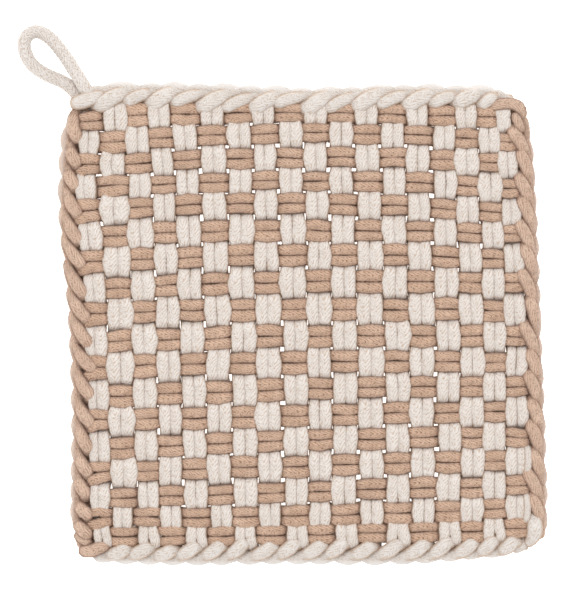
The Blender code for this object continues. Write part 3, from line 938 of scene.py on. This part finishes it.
cornerCords = {   # the corner stitches, (half width, [(x, y, z, share of width), ...])
    "left": [
        (2.75, [(-93.8, 91.2, 3.2, 0.8), (-95.2, 88.9, 4.4, 0.8), (-96.0, 87.2, 5.6, 0.85),
                (-96.5, 85.1, 7.3, 1.0), (-96.5, 81.8, 8.4, 1.12), (-95.6, 79.3, 8.3, 1.1),
                (-94.8, 77.4, 6.9, 1.0), (-94.4, 76.6, 4.2, 0.8)]),
        (2.7, [(-93.6, -94.6, 4.2, 0.75), (-91.6, -95.2, 6.6, 0.98), (-88.6, -94.9, 8.0, 1.05),
               (-85.4, -93.7, 8.2, 1.0), (-83.4, -93.2, 7.0, 0.92), (-82.6, -93.3, 4.2, 0.8)]),
        (2.3, [(-95.8, -87.7, 4.4, 0.8), (-94.1, -89.3, 5.8, 0.95), (-92.0, -90.6, 6.9, 1.0),
               (-90.4, -91.6, 6.4, 0.9), (-89.5, -92.3, 4.5, 0.8)]),
        (2.2, [(-94.6, -86.6, 3.6, 0.9), (-93.4, -91.4, 3.6, 1.0), (-92.2, -94.6, 3.6, 0.9)]),
        (2.3, [(-94.0, 87.9, 2.6, 0.9), (-90.0, 89.2, 2.6, 1.0), (-84.5, 89.4, 2.6, 0.9)]),
    ],
    "bottom": [
        (3.0, [(95.6, -77.9, 4.2, 0.72), (96.2, -80.8, 6.6, 0.95), (96.5, -84.7, 8.1, 1.14),
               (96.1, -88.2, 7.8, 1.08), (94.6, -91.0, 6.2, 0.85), (93.0, -92.6, 4.4, 0.7)]),
        (2.5, [(94.0, -89.4, 3.4, 0.8), (91.9, -91.6, 4.6, 1.0), (89.8, -93.4, 4.8, 1.05),
               (87.0, -95.2, 4.0, 0.9)]),
    ],
    "right": [
        (2.35, [(91.3, 85.4, 4.0, 0.8), (91.0, 88.5, 6.0, 1.0), (89.7, 90.6, 7.6, 1.1),
                (87.4, 91.7, 8.3, 1.08), (84.5, 91.9, 8.6, 1.05), (81.6, 91.5, 8.7, 1.05),
                (79.6, 91.0, 7.8, 0.95), (78.8, 90.7, 5.6, 0.75)]),
        (2.1, [(91.4, 80.0, 5.6, 0.85), (90.3, 82.4, 7.8, 1.0), (88.8, 85.6, 8.0, 1.0),
               (87.6, 88.4, 6.0, 0.8)]),
        (1.7, [(93.3, 76.0, 4.2, 0.9), (93.1, 80.1, 4.4, 1.0), (92.7, 83.5, 4.4, 1.0),
               (91.8, 87.0, 4.2, 0.9)]),
    ],
    "top": [
        (3.1, [(-83.3, 95.4, 5.0, 0.7), (-85.8, 95.0, 7.0, 0.85), (-89.1, 94.0, 8.2, 1.0),
               (-92.5, 92.9, 8.3, 1.08), (-94.8, 92.3, 7.2, 1.0), (-96.9, 92.3, 4.2, 0.8)]),
        (2.3, [(-77.0, 96.4, 3.6, 0.8), (-82.0, 97.2, 4.8, 1.0), (-88.0, 97.2, 4.8, 1.0),
               (-90.5, 96.0, 3.4, 0.8)]),
    ],
}
fuzz = {
    "thick": 0.045,           # half a fibre's thickness
    "step": 0.35,
    "places": (0, 0.35, 0.7, 1),
    "taper": 0.6,             # what a fibre has lost at its tip
    "sag": 0.22,              # its bend, as a share of its length
    "section": {"wales": 3, "perWale": 1, "perStitch": 2, "relief": 0, "rough": 0},
    "perSide": 170,
    "past": 4,                # how far past the chain's ends they grow
    "depth": (1.2, 2.2),      # where they start, in from the outer line
    "heights": (4.0, 7.5),
    "length": (0.7, 1.9),
    "hidden": 1.0,            # more of each, inside the cord
    "strayAlong": 0.7,        # from straight outwards
    "strayUp": 0.4,
}
frayed = {                    # the cut end of yarn at the lower right corner
    "line": ((97.9, -86.5, 5.6), (97.0, -89.8, 5.4), (94.8, -92.6, 5.0), (91.6, -94.9, 4.8),
             (88.2, -96.4, 4.6)),
    "step": 0.2,
    "hairs": 110,
    "length": (1.0, 2.6),
    "scatter": 0.5,
    "lean": (0.55, -0.75, 0.0),
    "stray": 0.45,
    "strayAxes": (1, 1, 0.5),
}


def hair(start, lean, length):
    # one loose fibre with a bend in it, starting inside a cord
    sag = rng.normal(0, fuzz["sag"], 3) * length
    route = []
    for share in fuzz["places"]:
        place = start + lean * length * share + sag * share ** 2
        route.append((*place, 1 - fuzz["taper"] * share))
    return freeCord(route, fuzz["thick"], flat=1.0, step=fuzz["step"], **fuzz["section"])


def hairsAlong(side):
    # fluff that stands out from the mat's outer line
    edge = edging[side]
    hairs = []
    for along in rng.uniform(edge["start"] - fuzz["past"], edge["stop"] + fuzz["past"], fuzz["perSide"]):
        out = outerLine(side, along) - rng.uniform(*fuzz["depth"])
        start = fromSide(side, [(along, out, rng.uniform(*fuzz["heights"]))])[0]
        stray = (rng.normal(0, fuzz["strayAlong"]), 1.0, rng.normal(0, fuzz["strayUp"]))
        lean = unit(fromSide(side, [stray])[0])
        hairs.append(hair(start, lean, rng.uniform(*fuzz["length"]) + fuzz["hidden"]))
    return hairs


def frayedEnd():
    # loose fibres all over the cut end's outer line
    line = evenSpline(frayed["line"], frayed["step"])
    hairs = []
    for _ in range(frayed["hairs"]):
        start = line[rng.integers(len(line))] + rng.normal(0, frayed["scatter"], 3)
        stray = rng.normal(0, frayed["stray"], 3) * frayed["strayAxes"]
        lean = unit(np.array(frayed["lean"]) + stray)
        hairs.append(hair(start, lean, rng.uniform(*frayed["length"])))
    return hairs


edgingCotton = {"left": tanEdgingCotton, "right": tanEdgingCotton,
                "top": creamEdgingCotton, "bottom": creamEdgingCotton}
for side, work in stitches.items():
    cords = [chainStitch(side, number) for number in range(work.get("first", 0), len(work["heads"]))]
    cords += [freeCord(points, half) for half, points in cornerCords[side]]
    cords += hairsAlong(side)
    if side == "bottom":
        cords += frayedEnd()
    piece = cordPiece("chain_edge_" + side, cords, edgingCotton[side], insideOutline)
    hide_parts("edging_" + side)
print("edge ready")


# The hanging loop.

hanging = {
    "diameter": 5.55,
    "flat": 0.94,
    "stitch": 2.1,
    "levelAt": 62,            # the step of the route where the cord's sides are level
    "section": {"squareness": 2.1, "wales": 6, "perWale": 5, "perStitch": 6, "relief": 0.16, "rough": 0.02},
    "route": ((-88.6, 93.4, 4.6), (-90.1, 95.4, 6.6), (-91.3, 97.9, 7.4), (-93.5, 101.7, 6.6),
              (-96.3, 106.1, 5.2), (-99.0, 110.3, 4.2), (-102.1, 114.6, 3.3), (-106.6, 119.7, 2.75),
              (-111.9, 122.5, 2.75), (-116.0, 120.8, 2.75), (-117.5, 116.8, 2.75), (-116.1, 111.7, 2.75),
              (-113.0, 107.6, 2.75), (-107.7, 104.2, 2.75), (-102.3, 101.9, 2.75), (-98.5, 99.6, 2.75),
              (-95.8, 96.8, 2.8), (-92.6, 94.0, 3.0)),
}
cord = freeCord([(*point, 1.0) for point in hanging["route"]], hanging["diameter"] / 2, flat=hanging["flat"],
                step=hanging["stitch"] / hanging["section"]["perStitch"], levelAt=hanging["levelAt"],
                **hanging["section"])
piece = cordPiece("hanging_cord", [cord], creamHangingCotton)
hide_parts("hanging_loop")
print("hanging loop ready")


# Floor, light and camera, in metres.

studio = {
    "floorSize": 4.0,
    "floorDrop": 0.0002,      # below the mat
    "floorLook": {"Base Color": (0.9, 0.9, 0.9, 1), "Roughness": 1.0, "Specular IOR Level": 0.0,
                  "Emission Color": (1, 1, 1, 1), "Emission Strength": 0.9},
    "worldLight": 1.0,
    "lightSize": 1.8,
    "lightPower": 13.0,
    "lightAt": (-0.15, 0.7, 1.7),
    "cameraHeight": 1.5,
    "seenHeight": 0.008,      # where the view's height is measured, above the surface
    "viewHigh": 0.2510,
    "viewMiddle": (0.00439, -0.00257),
    "sensor": 36.0,
    "clip": (0.05, 20.0),
}
paleFloor = bpy.data.materials.new("paleFloor")
paleFloor.use_nodes = True
setInputs(paleFloor.node_tree.nodes["Principled BSDF"], studio["floorLook"])
mesh = bpy.data.meshes.new("floor")
reach = studio["floorSize"] / 2
corners = [(-reach, -reach, 0), (reach, -reach, 0), (reach, reach, 0), (-reach, reach, 0)]
mesh.from_pydata(corners, [], [(0, 1, 2, 3)])
mesh.materials.append(paleFloor)
floor = placed("floor", mesh)
floor.location.z = -studio["floorDrop"]

world = bpy.data.worlds.new("studio")
bpy.context.scene.world = world
world.use_nodes = True
setInputs(world.node_tree.nodes["Background"], {"Color": (1, 1, 1, 1), "Strength": studio["worldLight"]})

lamp = bpy.data.lights.new("softLight", "AREA")
lamp.shape = "DISK"
lamp.size = studio["lightSize"]
lamp.energy = studio["lightPower"]
softLight = placed("softLight", lamp)
softLight.location = studio["lightAt"]
aim = placed("matMiddle", None)
aim.location = (middleX * mm, middleY * mm, 0)
track = softLight.constraints.new("TRACK_TO")
track.target = aim
track.track_axis = "TRACK_NEGATIVE_Z"
track.up_axis = "UP_Y"

lens = bpy.data.cameras.new("camera")
lens.sensor_fit = "VERTICAL"
lens.sensor_height = studio["sensor"]
lens.sensor_width = studio["sensor"]
lens.lens = studio["sensor"] * (studio["cameraHeight"] - studio["seenHeight"]) / studio["viewHigh"]
lens.clip_start, lens.clip_end = studio["clip"]
camera = placed("camera", lens)
camera.location = (*studio["viewMiddle"], studio["cameraHeight"])
bpy.context.scene.camera = camera
view = bpy.context.scene.view_settings
view.view_transform = "Standard"
view.look = "None"
view.exposure = 0.0
view.gamma = 1.0

print("studio ready")
